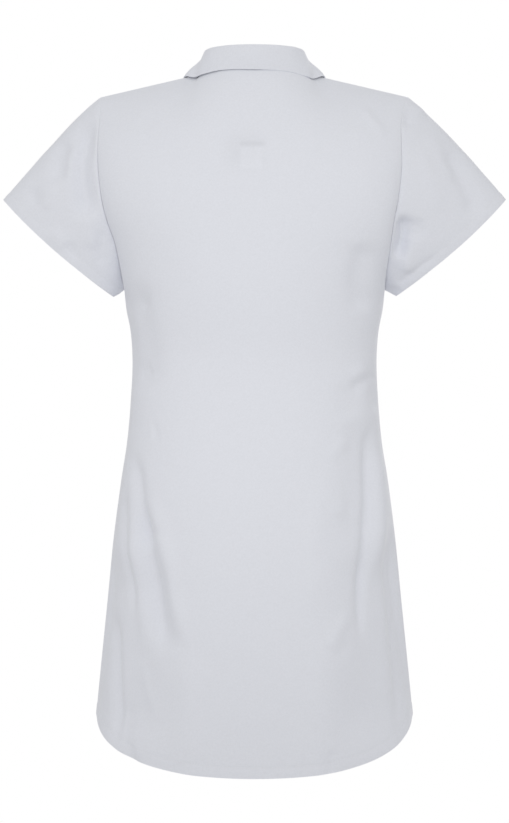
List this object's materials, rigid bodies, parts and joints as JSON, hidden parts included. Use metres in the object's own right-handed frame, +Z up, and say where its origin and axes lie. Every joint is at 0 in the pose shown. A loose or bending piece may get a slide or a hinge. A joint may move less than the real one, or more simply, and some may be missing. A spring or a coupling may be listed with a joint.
{
  "type": "medical coat",
  "caption": "Short-sleeved medical coat with a notched collar, buttoned front and rounded hem, hollow and filled out as if worn.",
  "frame": {"origin": "midway between the neck ends of the two shoulder seams", "axes": "+Z up, the front faces -Y, the wearer's left is +X"},
  "size_m": [0.652, 0.3239, 0.9136],
  "materials": {
    "cotton": "matt white plain-woven cotton blend",
    "label": "bare white woven tape",
    "button": "satin white"
  },
  "bodies": {
    "root": {"back": "cotton", "front_left": "cotton", "front_right": "cotton", "lapel_left": "cotton", "lapel_right": "cotton", "sleeve_left": "cotton", "sleeve_right": "cotton", "collar": "cotton", "neck_label": "label", "button_1": "button", "button_2": "button", "button_3": "button", "button_4": "button", "button_5": "button"}
  },
  "joints": []
}
